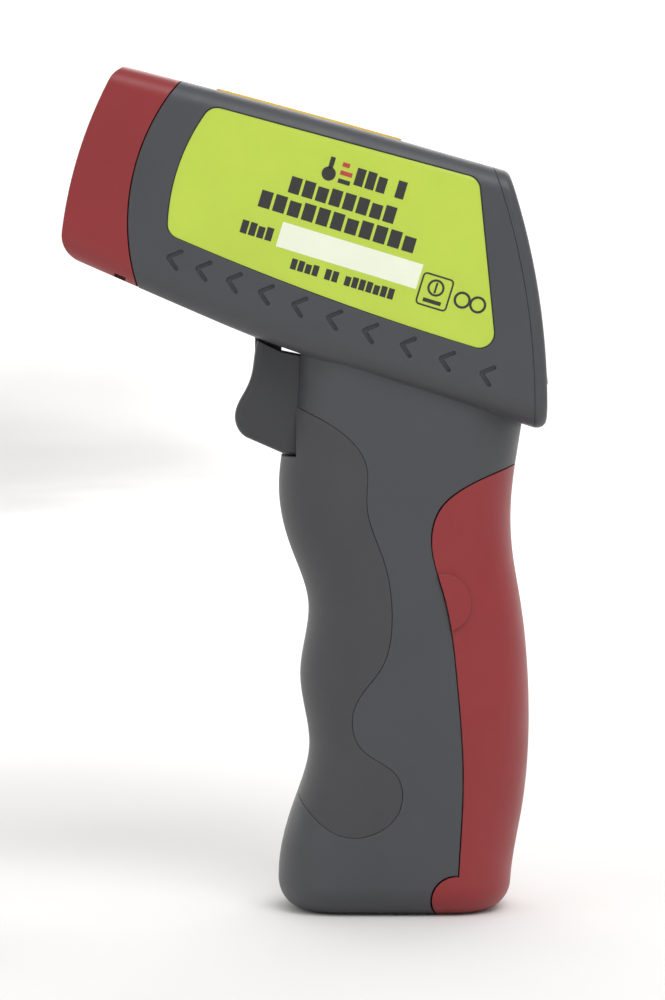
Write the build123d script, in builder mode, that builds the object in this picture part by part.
from build123d import *
import os
from math import cos, radians, sin

# Handheld infrared thermometer, in millimetres. It stands on the flat foot of its handle.
# Origin: centre of the foot. +Z up, the nozzle looks along -X, and -Y is the left side.
os.makedirs("parts", exist_ok=True)

# ---------------------------------------------------------------- driving dimensions
HEAD_TILT = 17.0            # the nozzle points this far above level
WALL = 2.3                  # housing wall
SEAM = 0.25                 # visible gap between neighbouring covers
PARTING = 0.05              # each housing half stops this far from the middle plane
LABEL_RECESS = 0.45
LABEL_SINK = 0.25
GRIP_DEPTH = 1.2
CHEVRON_DEPTH = 0.6
CAP_SET_BACK = 0.06         # the nozzle cap is this much smaller than the housing
GRIP_SEAM = 0.12
BEZEL_SEAM = 0.06
FOOT_LEVEL = -1.2           # the foot in the working frame; finished pieces are lifted onto Z = 0

# Head sections square to the tilted axis: station, half width, top, underside.
HEAD_STATIONS = (
    (-114.0, 17.6, 149.6, 109.9),
    (-90.0, 18.6, 150.7, 106.8),
    (-63.0, 19.6, 151.6, 104.3),
    (-30.0, 20.6, 152.3, 103.4),
    (8.0, 21.2, 152.7, 103.0),
)
HEAD_TOP_RADIUS = 4.6
HEAD_LOWER_RADIUS = 5.5
REAR_RIM_RADIUS = 1.8
FRONT_ARC = ((-17.0, 129.1), 91.5)
REAR_ARC = ((-145.45, 64.3), 150.0)
CAP_SEAM_ARC = ((-52.1, 132.1), 44.7)

# Handle sections, level: height, front, rear, half width. The front has three finger grooves.
HANDLE_STATIONS = (
    (FOOT_LEVEL, -25.3, 22.8, 17.0),
    (4.0, -25.5, 23.2, 17.1),
    (8.5, -25.3, 23.6, 17.2),
    (20.0, -22.5, 25.6, 17.1),
    (33.0, -19.0, 26.9, 16.8),
    (48.0, -20.9, 26.8, 16.5),
    (63.0, -19.2, 25.3, 16.4),
    (75.0, -23.0, 23.4, 16.5),
    (86.0, -25.3, 23.3, 16.8),
    (96.0, -24.4, 24.6, 17.1),
    (106.0, -22.6, 26.0, 17.3),
    (120.0, -21.6, 27.0, 17.3),
)
HANDLE_CORNER = 13.0
FOOT_ROUNDING = 6.5
NECK_FRONT = -21.6          # flat front of the neck, behind the trigger
NECK_SHELF = 93.8           # top of the grip, just under the trigger

NOZZLE_HEIGHT = 126.8       # optical axis, along the head's up direction
NOZZLE_RADIUS = 11.0
LASER_HEIGHT = 142.6

TRIGGER_PIVOT = (-27.2, 121.5)
TRIGGER_HALF_WIDTH = 9.5
PIVOT_PIN_RADIUS = 1.25
DOOR_PIVOT = (11.4, 2.4)
DOOR_TOE_RADIUS = 5.0
TOE_CLEARANCE = 0.35
HINGE_PIN_RADIUS = 1.0
FIT = 0.05                  # radial running clearance on both pins

BATTERY_FRONT = 0.5
BATTERY_SIZE = (17.5, 26.5, 48.5)
BATTERY_FOOT = 16.2
KEY_ROW = -15.5             # height of the keys on the rear face
KEY_PITCH = 10.5

# ---------------------------------------------------------------- frames
HEAD_AXIS = Vector(cos(radians(HEAD_TILT)), 0, -sin(radians(HEAD_TILT)))
HEAD_UP = Vector(sin(radians(HEAD_TILT)), 0, cos(radians(HEAD_TILT)))
HEAD_SIDE = Plane(origin=(0, 0, 0), x_dir=HEAD_AXIS, z_dir=(0, -1, 0))
SIDE = Plane(origin=(0, 0, 0), x_dir=(1, 0, 0), z_dir=(0, -1, 0))
REAR_NORMAL = HEAD_AXIS * 0.900 + HEAD_UP * 0.434
REAR = Plane(origin=HEAD_AXIS * -10.35 + HEAD_UP * 129.4, x_dir=(0, 1, 0), z_dir=REAR_NORMAL)


def across_head(station, height=0.0):
    """Plane square to the head axis: x is world Y, y is the head's up, z points rearward."""
    return Plane(origin=HEAD_AXIS * station + HEAD_UP * height, x_dir=(0, 1, 0), z_dir=HEAD_AXIS)


def along_head(height, station=0.0):
    """Plane parallel to the head axis, facing up: x runs rearward, y is world Y."""
    return Plane(origin=HEAD_AXIS * station + HEAD_UP * height, x_dir=HEAD_AXIS, z_dir=HEAD_UP)


# ---------------------------------------------------------------- outer form
def bowed_section(plane, x_span, y_span, bow, low_radius, high_radius):
    """Rounded rectangle whose four sides bow outwards a little."""
    x0, x1 = x_span
    y0, y1 = y_span
    bow_x, bow_y = bow
    middle = ((x0 + x1) / 2, (y0 + y1) / 2)
    lower = [(x0 + bow_x, y0 + bow_y), (x1 - bow_x, y0 + bow_y)]
    upper = [(x1 - bow_x, y1 - bow_y), (x0 + bow_x, y1 - bow_y)]
    with BuildSketch(Plane.XY) as flat:
        with BuildLine():
            ThreePointArc(lower[0], (middle[0], y0), lower[1])
            ThreePointArc(lower[1], (x1, middle[1]), upper[0])
            ThreePointArc(upper[0], (middle[0], y1), upper[1])
            ThreePointArc(upper[1], (x0, middle[1]), lower[0])
        make_face()
        fillet(flat.vertices().group_by(Axis.Y)[0], low_radius)
        fillet(flat.vertices().group_by(Axis.Y)[-1], high_radius)
    return plane * flat.sketch


def head_body(inset=0.0):
    """The head, or the same form shrunk by inset all round."""
    sections = [
        bowed_section(
            across_head(station),
            (inset - width, width - inset),
            (underside + inset, top - inset),
            (0.5, 0.7),
            HEAD_LOWER_RADIUS - inset,
            HEAD_TOP_RADIUS - inset,
        )
        for station, width, top, underside in HEAD_STATIONS
    ]
    with BuildPart() as body:
        loft(sections)
        with BuildSketch(HEAD_SIDE) as outline:
            with Locations(FRONT_ARC[0]):
                Circle(FRONT_ARC[1] - inset)
            with Locations(REAR_ARC[0]):
                Circle(REAR_ARC[1] - inset, mode=Mode.INTERSECT)
            with BuildLine():
                Polyline(
                    (-125, 111.4 + inset), (-63, 104.4 + inset), (-40, 95), (20, 95), (20, 170),
                    (-102.0, 170), (-102.0 + inset, 153.8 - inset), (-109.9 + inset, 143.1 - inset),
                    (-125, 143.1 - inset), close=True,
                )
            make_face(mode=Mode.INTERSECT)
            corner = [
                v for v in outline.vertices()
                if HEAD_SIDE.to_local_coords(v.center()).X < -95
                and HEAD_SIDE.to_local_coords(v.center()).Y < 115
            ]
            fillet(corner, 5.5)
        extrude(amount=60, both=True, mode=Mode.INTERSECT)
        if inset < WALL / 2:
            rear_face = body.faces().sort_by(Axis((0, 0, 0), REAR_NORMAL))[-1]
            fillet(rear_face.edges(), REAR_RIM_RADIUS - inset)
    return body.part


def handle_body(inset=0.0):
    """The handle, or the same form shrunk by inset all round."""
    sections = [
        bowed_section(
            Plane.XY.offset(height + (inset if height == FOOT_LEVEL else 0)),
            (front + inset, rear - inset),
            (inset - width, width - inset),
            (1.6, 0.8),
            HANDLE_CORNER - inset,
            HANDLE_CORNER - inset,
        )
        for height, front, rear, width in HANDLE_STATIONS
    ]
    with BuildPart() as body:
        loft(sections)
        fillet(body.faces().sort_by(Axis.Z)[0].edges(), FOOT_ROUNDING - 0.9 * inset)
        with BuildSketch(SIDE):
            Polygon(
                (-60, NECK_SHELF + inset), (NECK_FRONT + inset, NECK_SHELF + inset),
                (NECK_FRONT + inset, 130), (-60, 130), align=None,
            )
        extrude(amount=40, both=True, mode=Mode.SUBTRACT)
    return body.part


def prism(sketch, both=True):
    """A side-view outline swept over the whole width, or over the left half only."""
    return extrude(sketch, amount=60, both=both, mode=Mode.PRIVATE)


def skin(form, outer, inner):
    """The layer of a form between two insets."""
    return form(outer) - form(inner)


# ---------------------------------------------------------------- side-view outlines
def door_outline(growth=0.0):
    """Battery door seen from the side: a wavy front seam down to a round toe at the hinge."""
    seam_points = (
        (34.0, 95.5), (23.7, 92.0), (14.0, 88.1), (8.1, 83.3), (6.3, 77.0),
        (8.7, 66.1), (11.7, 47.0), (12.9, 27.0), (12.3, 13.0), (11.8, 4.0),
    )
    with BuildSketch(SIDE) as outline:
        with BuildLine():
            seam = Spline(*[(x - growth, z + 0.7 * growth) for x, z in seam_points])
            Polyline(seam @ 1, (seam @ 1 + (0, -11)), (34, -5), seam @ 0)
        make_face()
        with Locations(DOOR_PIVOT):
            Circle(DOOR_TOE_RADIUS + growth)
    return outline.sketch


def drawn_in(points, centre, amount):
    """The same points, each moved by amount towards a centre."""
    middle = Vector(*centre)
    return [Vector(*point) + (middle - Vector(*point)).normalized() * amount for point in points]


def grip_outline(shrink=0.0):
    """Soft grip pad seen from the side, open towards the front of the handle."""
    palm_edge = (
        (-30.0, 108.0), (-20.7, 103.8), (-12.6, 99.4), (-7.2, 92.6), (-7.0, 84.0),
        (-3.6, 73.0), (-1.8, 61.5), (-4.0, 50.5), (-9.6, 42.0),
    )
    heel_edge = (
        (-8.2, 34.0), (-0.8, 28.4), (-0.4, 20.8), (-10.5, 15.5), (-19.4, 20.8), (-29.0, 36.0),
    )
    with BuildSketch(SIDE) as outline:
        with BuildLine():
            edge = Spline(
                *drawn_in(palm_edge, (-26, 66), shrink), *drawn_in(heel_edge, (-14, 22), shrink)
            )
            Polyline(edge @ 1, (-50, 36), (-50, 108), edge @ 0)
        make_face()
    return outline.sketch


def label_outline(shrink=0.0):
    """Side label: a rounded four-sided panel whose front end follows the nozzle cap."""
    corners = ((-85.6, 147.1), (-86.6, 119.5), (-15.2, 115.8), (-29.0, 148.9))
    middles = ((-88.4, 131.0), (-50.0, 116.4), (-22.1, 132.4), (-55.0, 148.1))
    centre = (-55, 132)
    top_front, low_front, low_rear, top_rear = drawn_in(corners, centre, 1.4 * shrink)
    front, low, rear, top = drawn_in(middles, centre, shrink)
    with BuildSketch(HEAD_SIDE) as outline:
        with BuildLine():
            ThreePointArc(top_front, front, low_front)
            ThreePointArc(low_front, low, low_rear)
            Line(low_rear, top_rear)
            ThreePointArc(top_rear, top, top_front)
        make_face()
        fillet(outline.vertices(), 3.0)
    return outline.sketch


def chevrons():
    """Ten marks pointing to the nozzle, set closer together towards the front."""
    count = 10
    arm, stroke, opening = 3.1, 0.85, 39
    with BuildSketch(HEAD_SIDE) as marks:
        for index in range(count):
            along = index / (count - 1)
            station = -84.9 + 55.5 * along + 12.2 * along**2
            height = 115.1 - 3.9 * along
            tip = Vector(station, height)
            upper = tip + Vector(arm, 0).rotate(Axis.Z, opening)
            lower = tip + Vector(arm, 0).rotate(Axis.Z, -opening)
            for end in (upper, lower):
                middle = (tip + end) / 2
                turn = opening if end is upper else -opening
                with Locations(Location((middle.X, middle.Y, 0), (0, 0, turn))):
                    SlotCenterToCenter(arm - stroke / 2, stroke)
    return marks.sketch


def circle_on(plane, radius, *centres):
    """Circles at the given points of a plane."""
    with BuildSketch(plane, mode=Mode.PRIVATE) as spots:
        with Locations(*centres):
            Circle(radius)
    return spots.sketch


def cap_region(growth=0.0):
    """Everything in front of the nozzle cap's curved rear seam."""
    with BuildSketch(HEAD_SIDE) as region:
        with Locations((-110, 130)):
            Rectangle(2 * (110 + CAP_SEAM_ARC[0][0]), 120)
        with Locations(CAP_SEAM_ARC[0]):
            Circle(CAP_SEAM_ARC[1] + growth, mode=Mode.SUBTRACT)
    return region.sketch


def rear_region(depth):
    """Everything behind a curve that runs depth inside the rear face."""
    with BuildSketch(HEAD_SIDE) as region:
        with Locations((10, 130)):
            Rectangle(90, 90)
        with Locations(REAR_ARC[0]):
            Circle(REAR_ARC[1] - depth, mode=Mode.SUBTRACT)
    return region.sketch


def box_between(low, high):
    """A box from its lowest to its highest corner."""
    size = [b - a for a, b in zip(low, high)]
    return Pos(*low) * Box(*size, align=(Align.MIN, Align.MIN, Align.MIN), mode=Mode.PRIVATE)


# ---------------------------------------------------------------- shared forms
outer_head = head_body()
outer_handle = handle_body()
outer_form = outer_head + outer_handle
inner_form = head_body(WALL) + handle_body(WALL)
door_gap = prism(door_outline(SEAM))
door_form = prism(door_outline())
grip_zone = prism(grip_outline())
cap_zone = prism(cap_region())
cap_gap = prism(cap_region(-SEAM))
bezel_depth = 2.6
bezel_zone = prism(rear_region(bezel_depth))
bezel_gap = prism(rear_region(bezel_depth + BEZEL_SEAM))
left_half = box_between((-200, -60, -10), (100, -PARTING, 250))
right_half = box_between((-200, PARTING, -10), (100, 60, 250))
pivot_x, pivot_z = TRIGGER_PIVOT
door_x, door_z = DOOR_PIVOT
slot_half = TRIGGER_HALF_WIDTH + 0.4
trigger_slot = box_between((-24.5, -slot_half, NECK_SHELF), (-15.5, slot_half, 118.5))

# Screws enter from the right. Two on the head hide under the right label.
HANDLE_SCREWS = ((-1.0, 99.0), (-4.5, 38.5), (-8.0, 9.0))
HEAD_SCREWS = ((-72.0, 142.5), (-38.0, 138.0))


def screw_places():
    """Each screw's axis point on the middle plane, in world X and Z."""
    head = [HEAD_AXIS * station + HEAD_UP * height for station, height in HEAD_SCREWS]
    return [(x, z) for x, z in HANDLE_SCREWS] + [(point.X, point.Z) for point in head]


SCREW_HEAD_FACE = {0: 15.4, 1: 14.6, 2: 14.4, 3: 17.2, 4: 18.4}
SCREW_SHANK = 1.25
SCREW_HEAD = 2.5

# ---------------------------------------------------------------- housing shell, both halves
shell = outer_form - inner_form
shell -= prism(label_outline()) - head_body(LABEL_RECESS)
shell -= prism(chevrons()) - head_body(CHEVRON_DEPTH)
shell -= grip_zone - handle_body(GRIP_DEPTH)
shell -= cap_gap + door_gap + bezel_gap

# Trigger slot: wide in the neck, narrow where the stem rises into the head.
shell -= trigger_slot
shell -= box_between((-32.2, -4.3, 112.0), (-23.5, 4.3, 122.0))

# Inner walls: battery partition, shelves, spring and switch wall.
inside = inner_form - door_gap
walls = box_between((-1.6, -30, 1.0), (0.0, 30, 81.0))
walls += box_between((-1.6, -30, 79.5), (26.0, 30, 81.0))
walls += box_between((0.0, -30, BATTERY_FOOT - 2.2), (12.0, 30, BATTERY_FOOT - 0.4))
walls += box_between((-11.5, -30, 91.0), (-10.0, 30, 118.0))
walls -= box_between((4.0, -5.0, 78.0), (12.0, 5.0, 82.0))
walls = walls & (handle_body(WALL - 0.4))
walls -= door_gap

# Screw bosses, pivot ears and hinge lugs.
bosses = Part()
bores = Part()
for index, (x, z) in enumerate(screw_places()):
    face = SCREW_HEAD_FACE[index]
    axis_plane = Plane(origin=(x, 0, z), x_dir=(1, 0, 0), z_dir=(0, 1, 0))
    bosses += extrude(circle_on(axis_plane, 3.1, (0, 0)), amount=25, both=True)
    bores += extrude(circle_on(axis_plane.offset(-12), SCREW_SHANK + 0.02, (0, 0)), amount=45)
    bores += extrude(circle_on(axis_plane.offset(face - 1.9), SCREW_HEAD + 0.15, (0, 0)), amount=20)
pivot_plane = Plane(origin=(pivot_x, 0, pivot_z), x_dir=(1, 0, 0), z_dir=(0, 1, 0))
ears = extrude(circle_on(pivot_plane, 3.2, (0, 0)), amount=25, both=True)
ears -= box_between((-60, -4.3, 60), (60, 4.3, 200))
bosses = (bosses + ears) & (outer_form - cap_gap - bezel_gap)
bosses -= skin(head_body, 0, LABEL_RECESS) + skin(handle_body, 0, GRIP_DEPTH + 0.4)
pin_hole = extrude(circle_on(pivot_plane, PIVOT_PIN_RADIUS, (0, 0)), amount=7.5, both=True)

with BuildSketch(SIDE) as lug_outline:
    with Locations(DOOR_PIVOT):
        Circle(2.2)
    Polygon(
        (door_x, door_z + 2.2), (-1.0, door_z + 2.2), (-1.0, door_z - 0.6), (door_x, door_z - 0.6),
        align=None,
    )
    with Locations(DOOR_PIVOT):
        Circle(HINGE_PIN_RADIUS, mode=Mode.SUBTRACT)
lug_span = (8.4, 12.2)
lugs = prism(lug_outline.sketch)
lugs &= box_between((-10, -lug_span[1], -5), (30, lug_span[1], 20))
lugs -= box_between((-10, -lug_span[0], -5), (30, lug_span[0], 20))
toe_clearance = prism(circle_on(SIDE, DOOR_TOE_RADIUS + TOE_CLEARANCE, DOOR_PIVOT))

shell = (shell + walls) - toe_clearance + bosses + lugs
shell -= bores + pin_hole


def finish(builder, name):
    """Lift a finished piece so that the foot stands on Z = 0, label it and write it."""
    piece = builder.part.moved(Location((0, 0, -FOOT_LEVEL)))
    piece.label = name
    export_step(piece, f"parts/{name}.step")


with BuildPart() as housing_left:
    add((shell & left_half).solids().sort_by(SortBy.VOLUME)[-1])
finish(housing_left, "housing_left")

with BuildPart() as housing_right:
    add((shell & right_half).solids().sort_by(SortBy.VOLUME)[-1])
finish(housing_right, "housing_right")


# ---------------------------------------------------------------- nozzle end
nozzle_bore = extrude(circle_on(across_head(-120), NOZZLE_RADIUS, (0, NOZZLE_HEIGHT)), amount=22)
with BuildPart() as nozzle_cap:
    add((head_body(CAP_SET_BACK) - head_body(CAP_SET_BACK + 2.2)) & cap_zone)
    spigot_zone = prism(cap_region(-4.0)) - prism(cap_region(4.0))
    add(skin(head_body, WALL + 0.15, WALL + 1.4) & spigot_zone)
    add(nozzle_bore, mode=Mode.SUBTRACT)
    with BuildSketch(across_head(-120)):
        with Locations((0, LASER_HEIGHT)):
            Circle(2.1)
    extrude(amount=22, mode=Mode.SUBTRACT)
    # Release slots low on both sides, just in front of the seam.
    for sign in (-1, 1):
        with BuildSketch(HEAD_SIDE.offset(sign * 13.0)):
            with Locations(Location((-93.3, 108.3, 0), (0, 0, -6))):
                Rectangle(2.5, 0.7)
        extrude(amount=sign * 8.0, mode=Mode.SUBTRACT)
finish(nozzle_cap, "nozzle_cap")


def turned(profile_points, height, name, within=None):
    """A round piece on an axis parallel to the head axis, from (station, radius) points."""
    with BuildPart() as piece:
        with BuildSketch(HEAD_SIDE):
            Polygon(*[(station, height + radius) for station, radius in profile_points], align=None)
        revolve(axis=Axis(HEAD_UP * height, HEAD_AXIS))
        if within:
            add(within, mode=Mode.INTERSECT)
    finish(piece, name)


turned(
    ((-108.9, 12.2), (-108.9, 11.0), (-96.0, 8.6), (-92.0, 6.6), (-90.0, 6.6), (-90.0, 9.4),
     (-95.2, 10.2), (-103.9, 12.2)),
    NOZZLE_HEIGHT, "nozzle_hood", within=head_body(CAP_SET_BACK + 2.2),
)
turned(
    ((-91.9, 0.0), (-91.6, 3.4), (-90.9, 6.5), (-90.1, 6.5), (-90.1, 0.0)), NOZZLE_HEIGHT, "ir_lens"
)
turned(
    ((-90.0, 6.4), (-90.0, 9.3), (-89.2, 9.3), (-89.2, 6.4)), NOZZLE_HEIGHT, "lens_seal"
)
turned(
    ((-89.2, 6.0), (-89.2, 9.4), (-76.0, 9.4), (-74.0, 7.4), (-70.0, 7.4), (-70.0, 4.2),
     (-74.4, 4.2), (-74.4, 5.0), (-84.0, 6.0)),
    NOZZLE_HEIGHT, "sensor_barrel",
)
turned(
    ((-73.6, 0.0), (-73.6, 3.9), (-70.6, 3.9), (-70.6, 4.1), (-69.6, 4.1), (-69.6, 0.0)),
    NOZZLE_HEIGHT, "thermopile",
)
turned(
    ((-104.6, 0.6), (-104.6, 2.8), (-84.0, 2.8), (-84.0, 2.2), (-80.0, 2.2), (-80.0, 0.0),
     (-103.4, 0.0), (-103.4, 0.6)),
    LASER_HEIGHT, "laser_module",
)
turned(
    ((-107.6, 0.0), (-107.6, 2.05), (-106.6, 2.05), (-106.6, 0.0)), LASER_HEIGHT, "laser_window"
)

with BuildPart() as sensor_cradle:
    with BuildSketch(across_head(-84.0)):
        with Locations((0, 134.0)):
            Rectangle(27.0, 26.0)
        with Locations((0, NOZZLE_HEIGHT)):
            Circle(9.45, mode=Mode.SUBTRACT)
        with Locations((0, LASER_HEIGHT)):
            Circle(2.85, mode=Mode.SUBTRACT)
    extrude(amount=-2.0)
    corners = sensor_cradle.edges().filter_by(Axis((0, 0, 0), HEAD_AXIS))
    fillet(corners.filter_by(GeomType.LINE), 2.0)
finish(sensor_cradle, "sensor_cradle")

# ---------------------------------------------------------------- labels and grips
for side, half in (("left", left_half), ("right", right_half)):
    with BuildPart() as side_label:
        add((head_body(LABEL_SINK) & prism(label_outline(0.2)) & half) - head_body(LABEL_RECESS))
    finish(side_label, f"{side}_label")
    with BuildPart() as grip_pad:
        add((outer_handle & prism(grip_outline(GRIP_SEAM)) & half) - handle_body(GRIP_DEPTH))
        add(trigger_slot, mode=Mode.SUBTRACT)
    finish(grip_pad, f"grip_pad_{side}")

with BuildPart() as top_label:
    with BuildSketch(along_head(148.0)):
        with Locations((-66.1, 0)):
            RectangleRounded(39.4, 23.0, 3.0)
    extrude(amount=10)
    add(head_body(-0.35) - head_body(0), mode=Mode.INTERSECT)
finish(top_label, "top_label")

# ---------------------------------------------------------------- battery door
with BuildPart() as battery_door:
    add(skin(handle_body, 0, 2.2) & door_form)
    # Round thumb pads, cut off by the seam.
    pad = prism(circle_on(SIDE, 6.0, (8.4, 64.0))) & door_form
    add(skin(handle_body, -0.7, 0.6) & pad)
    # Catches that tuck behind the housing's side walls.
    catch = box_between((3.0, -30, 72.5), (14.0, 30, 77.5))
    add(skin(handle_body, 2.6, 3.6) & catch)
    add(skin(handle_body, 1.0, 3.6) & catch & prism(door_outline(-0.3)))
    # Hinge notches and knuckle.
    notch_front = box_between((0, -60, -5), (door_x + 1.2, 60, door_z + DOOR_TOE_RADIUS + 0.4))
    around_pin = prism(circle_on(SIDE, 2.5, DOOR_PIVOT)) + notch_front
    for sign in (-1, 1):
        span = sorted((sign * 8.1, sign * 12.5))
        add(around_pin & box_between((-10, span[0], -10), (40, span[1], 20)), mode=Mode.SUBTRACT)
    with BuildSketch(SIDE):
        with Locations(DOOR_PIVOT):
            Circle(2.6)
    extrude(amount=8.0, both=True)
    with BuildSketch(SIDE):
        with Locations(DOOR_PIVOT):
            Circle(HINGE_PIN_RADIUS + FIT)
    extrude(amount=12.0, both=True, mode=Mode.SUBTRACT)
finish(battery_door, "battery_door")

with BuildPart() as door_hinge_pin:
    with BuildSketch(SIDE):
        with Locations(DOOR_PIVOT):
            Circle(HINGE_PIN_RADIUS)
    extrude(amount=12.0, both=True)
finish(door_hinge_pin, "door_hinge_pin")

with BuildPart() as door_foam:
    add(box_between((19.3, -8, 32), (40, 8, 56)) & handle_body(2.25))
finish(door_foam, "door_foam")

# ---------------------------------------------------------------- battery and its leads
depth, breadth, length = BATTERY_SIZE
battery_top = BATTERY_FOOT + length
battery_centre = BATTERY_FRONT + depth / 2
with BuildPart() as battery:
    with BuildSketch(Plane.XY.offset(BATTERY_FOOT)):
        with Locations((battery_centre, 0)):
            RectangleRounded(depth, breadth, 3.2)
    extrude(amount=length)
    chamfer(battery.faces().sort_by(Axis.Z)[-1].edges(), 0.6)
finish(battery, "battery")

terminal_spread = 6.35
with BuildPart() as battery_terminals:
    for y, radius in ((-terminal_spread, 2.7), (terminal_spread, 3.6)):
        with BuildSketch(Plane.XY.offset(battery_top)):
            with Locations((battery_centre, y)):
                Circle(radius)
                Circle(radius - 1.0, mode=Mode.SUBTRACT)
        extrude(amount=2.4)
finish(battery_terminals, "battery_terminals")

with BuildPart() as snap_connector:
    with BuildSketch(Plane.XY.offset(battery_top + 2.4)):
        with Locations((battery_centre, 0)):
            RectangleRounded(12.5, 24.5, 4.0)
    extrude(amount=2.6)
    fillet(snap_connector.faces().sort_by(Axis.Z)[-1].edges(), 0.8)
finish(snap_connector, "snap_connector")

BOARD_HEIGHT = 117.4
lead_top = HEAD_AXIS * -30.0 + HEAD_UP * (BOARD_HEIGHT - 0.4)
with BuildPart() as battery_leads:
    for y in (-2.4, 2.4):
        with BuildLine() as route:
            FilletPolyline(
                (battery_centre, y, battery_top + 5.0), (battery_centre, y, 86.0), (lead_top.X, y, 101.0),
                (lead_top.X, y, lead_top.Z),
                radius=12.0,
            )
        with BuildSketch(Plane(origin=route.line @ 0, z_dir=route.line % 0)):
            Circle(0.65)
        sweep(path=route.line)
finish(battery_leads, "battery_leads")

# ---------------------------------------------------------------- trigger group
with BuildPart() as trigger:
    with BuildSketch(SIDE) as trigger_outline:
        with BuildLine():
            front = Spline(
                (-29.6, 117.8), (-30.3, 114.4), (-30.8, 111.0), (-31.9, 108.0), (-33.8, 104.4),
                (-34.3, 101.9), (-33.7, 99.6), (-31.6, 97.6),
            )
            Polyline(
                front @ 1, (-23.6, 94.1), (-20.2, 94.1), (-20.2, 114.5), (-24.6, 115.4), front @ 0
            )
        make_face()
        fillet(trigger_outline.vertices().sort_by(Axis.X)[-2:], 0.8)
    extrude(amount=TRIGGER_HALF_WIDTH, both=True)
    front_edges = trigger.edges().filter_by(
        lambda e: abs(abs(e.center().Y) - TRIGGER_HALF_WIDTH) < 0.01 and e.length > 20
        and e.center().X < -29
    )
    fillet(front_edges, 1.6)
    with BuildSketch(SIDE):
        with Locations(TRIGGER_PIVOT):
            Circle(3.0)
        Polygon((-30.2, 121.5), (-30.2, 114.0), (-25.0, 114.0), (-24.2, 121.5), align=None)
    extrude(amount=3.9, both=True)
    with BuildSketch(Plane(origin=(-20.2, 0, 100.4), x_dir=(0, 1, 0), z_dir=(-1, 0, 0))):
        Circle(3.2)
    extrude(amount=6.0, mode=Mode.SUBTRACT)
    with BuildSketch(pivot_plane):
        Circle(PIVOT_PIN_RADIUS + FIT)
    extrude(amount=12, both=True, mode=Mode.SUBTRACT)
finish(trigger, "trigger")

with BuildPart() as trigger_pin:
    with BuildSketch(pivot_plane):
        Circle(PIVOT_PIN_RADIUS)
    extrude(amount=7.5, both=True)
finish(trigger_pin, "trigger_pin")

spring_length = 14.3
with BuildPart() as trigger_spring:
    with BuildLine() as coil:
        Helix(
            pitch=2.2, height=spring_length - 0.6, radius=2.3,
            center=(-25.8, 0, 100.4), direction=(1, 0, 0),
        )
    with BuildSketch(Plane(origin=coil.line @ 0, z_dir=coil.line % 0)):
        Circle(0.3)
    sweep(path=coil.line, is_frenet=True)
finish(trigger_spring, "trigger_spring")

switch_axis_z = 112.6
with BuildPart() as trigger_switch:
    add(box_between((-16.0, -4.5, switch_axis_z - 3.0), (-11.5, 4.5, switch_axis_z + 3.0)))
    chamfer(trigger_switch.edges().filter_by(Axis.X), 0.4)
    with BuildSketch(Plane(origin=(-16.0, 0, switch_axis_z), x_dir=(0, 1, 0), z_dir=(1, 0, 0))):
        Circle(1.2 + FIT)
    extrude(amount=3.4, mode=Mode.SUBTRACT)
finish(trigger_switch, "trigger_switch")

with BuildPart() as switch_plunger:
    with BuildSketch(Plane(origin=(-19.8, 0, switch_axis_z), x_dir=(0, 1, 0), z_dir=(1, 0, 0))):
        Circle(1.2)
    extrude(amount=5.4)
    fillet(switch_plunger.faces().sort_by(Axis.X)[0].edges(), 0.5)
finish(switch_plunger, "switch_plunger")

# ---------------------------------------------------------------- rear face
WINDOW = (30.6, 22.6)
WINDOW_CENTRE = (0, 5.5)
WINDOW_DEPTH = 2.2
with BuildPart() as rear_bezel:
    add(skin(head_body, WALL + 0.15, WALL + 1.3) & prism(rear_region(bezel_depth + 3.0)))
    add(outer_head & bezel_zone)
    with BuildSketch(REAR.offset(-WINDOW_DEPTH)):
        with Locations(WINDOW_CENTRE):
            RectangleRounded(WINDOW[0] + 0.2, WINDOW[1] + 0.2, 2.1)
    extrude(amount=10, mode=Mode.SUBTRACT)
    with BuildSketch(REAR.offset(-8)):
        with Locations(WINDOW_CENTRE):
            RectangleRounded(WINDOW[0] - 2.6, WINDOW[1] - 2.6, 1.2)
    extrude(amount=10, mode=Mode.SUBTRACT)
    with BuildSketch(REAR.offset(-9)):
        with Locations(*[(KEY_PITCH * index, KEY_ROW) for index in (-1, 0, 1)]):
            RectangleRounded(8.1, 6.1, 1.9)
    extrude(amount=20, mode=Mode.SUBTRACT)
finish(rear_bezel, "rear_bezel")

with BuildPart() as display_window:
    with BuildSketch(REAR.offset(-WINDOW_DEPTH)):
        with Locations(WINDOW_CENTRE):
            RectangleRounded(*WINDOW, 2.0)
    extrude(amount=1.1)
    chamfer(display_window.faces().sort_by(Axis.X)[-1].edges(), 0.2)
finish(display_window, "display_window")


def rear_plate(name, near, far, size, centre=WINDOW_CENTRE, corner=0.6):
    """A flat plate parallel to the rear face, between two depths behind it."""
    with BuildPart() as plate:
        with BuildSketch(REAR.offset(-far)):
            with Locations(centre):
                RectangleRounded(*size, corner)
        extrude(amount=far - near)
    finish(plate, name)


rear_plate("lcd_panel", 4.6, 6.0, (28.6, 20.8))
rear_plate("backlight", 6.1, 7.6, (27.6, 15.6))
rear_plate("display_board", 7.7, 8.9, (33.0, 38.0), (0, -1.2), 1.5)
with BuildPart() as contact_strips:
    for offset_y in (-9.3, 9.3):
        with BuildSketch(REAR.offset(-7.7)):
            with Locations((0, WINDOW_CENTRE[1] + offset_y)):
                Rectangle(26.0, 1.8)
        extrude(amount=1.7)
finish(contact_strips, "contact_strips")

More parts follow.
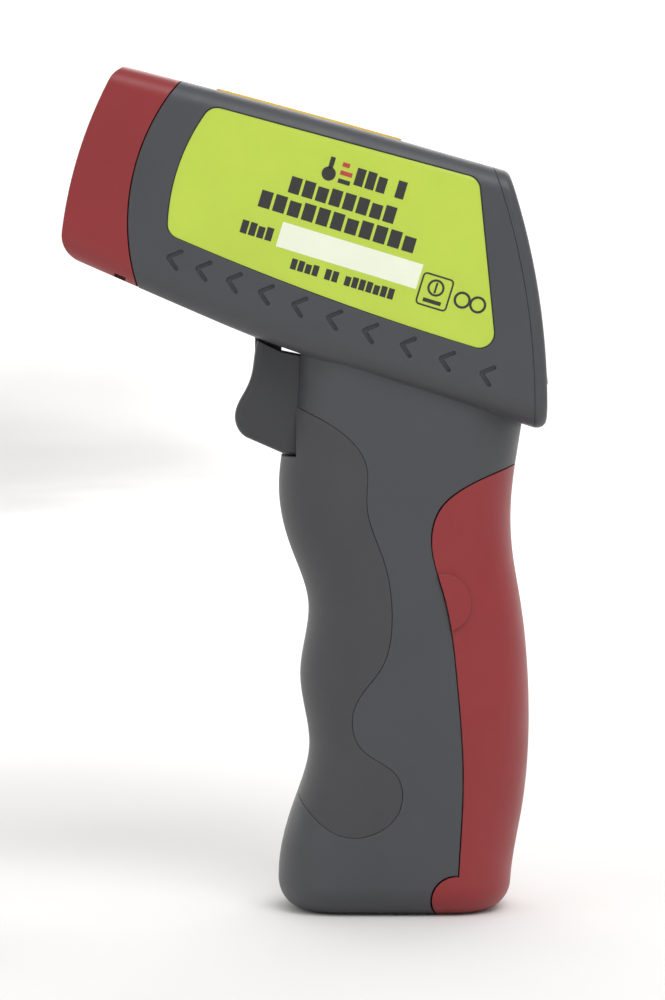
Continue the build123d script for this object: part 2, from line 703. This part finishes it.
for index, name in ((-1, "key_left"), (0, "key_middle"), (1, "key_right")):
    place = (KEY_PITCH * index, KEY_ROW)
    with BuildPart() as key:
        with BuildSketch(REAR.offset(-5.9)):
            with Locations(place):
                RectangleRounded(9.4, 7.4, 2.0)
        extrude(amount=0.7)
        with BuildSketch(REAR.offset(-5.4)):
            with Locations(place):
                RectangleRounded(7.7, 5.7, 1.7)
        extrude(amount=4.9)
        fillet(key.faces().sort_by(Axis.X)[-1].edges(), 0.7)
    finish(key, name)

with BuildPart() as key_domes:
    with BuildSketch(REAR.offset(-7.7)):
        with Locations((0, KEY_ROW)):
            Rectangle(30.0, 7.0)
    extrude(amount=0.5)
    with BuildSketch(REAR.offset(-7.2)):
        with Locations(*[(KEY_PITCH * index, KEY_ROW) for index in (-1, 0, 1)]):
            Circle(2.4)
    extrude(amount=0.5, taper=25)
finish(key_domes, "key_domes")

# ---------------------------------------------------------------- main board
with BuildPart() as main_board:
    with BuildSketch(along_head(BOARD_HEIGHT)):
        with Locations((-47.0, 0)):
            RectangleRounded(44.0, 29.0, 1.0)
    extrude(amount=1.5)
finish(main_board, "main_board")
BOARD_TOP = BOARD_HEIGHT + 1.5


def on_board(name, station, across, size, height, corner=0.3):
    """A component standing on the main board."""
    with BuildPart() as component:
        with BuildSketch(along_head(BOARD_TOP)):
            with Locations((station, across)):
                RectangleRounded(*size, corner)
        extrude(amount=height)
        chamfer(component.faces().sort_by(Axis(HEAD_UP * 0, HEAD_UP))[-1].edges(), 0.2)
    finish(component, name)


on_board("processor_chip", -46.0, 4.0, (10.0, 10.0), 1.4)
on_board("amplifier_chip", -62.0, -3.0, (6.2, 5.0), 1.5)
on_board("board_connector", -29.0, 0.0, (4.0, 16.0), 3.0)
with BuildPart() as buzzer:
    with BuildSketch(along_head(BOARD_TOP)):
        with Locations((-44.0, -8.2)):
            Circle(5.0)
    extrude(amount=4.0)
    with BuildSketch(along_head(BOARD_TOP + 4.0)):
        with Locations((-44.0, -8.2)):
            Circle(0.9)
    extrude(amount=-1.5, mode=Mode.SUBTRACT)
finish(buzzer, "buzzer")

with BuildPart() as display_ribbon:
    with BuildSketch(HEAD_SIDE):
        with BuildLine():
            ribbon = FilletPolyline(
                (-26.7, BOARD_TOP + 2.0), (-22.0, BOARD_TOP + 2.0), (-18.0, BOARD_TOP + 5.16),
                radius=2.0,
            )
            offset(ribbon, amount=0.2, side=Side.BOTH)
        make_face()
    extrude(amount=7.0, both=True)
finish(display_ribbon, "display_ribbon")

# ---------------------------------------------------------------- screws
with BuildPart() as housing_screws:
    for index, (x, z) in enumerate(screw_places()):
        face = SCREW_HEAD_FACE[index]
        axis_plane = Plane(origin=(x, face, z), x_dir=(1, 0, 0), z_dir=(0, -1, 0))
        with BuildSketch(axis_plane):
            Circle(SCREW_HEAD)
        extrude(amount=1.8)
        with BuildSketch(axis_plane):
            Circle(SCREW_SHANK)
        extrude(amount=face + 9.0)
        with BuildSketch(axis_plane):
            Rectangle(3.4, 0.7)
            Rectangle(0.7, 3.4)
        extrude(amount=1.0, mode=Mode.SUBTRACT)
finish(housing_screws, "housing_screws")
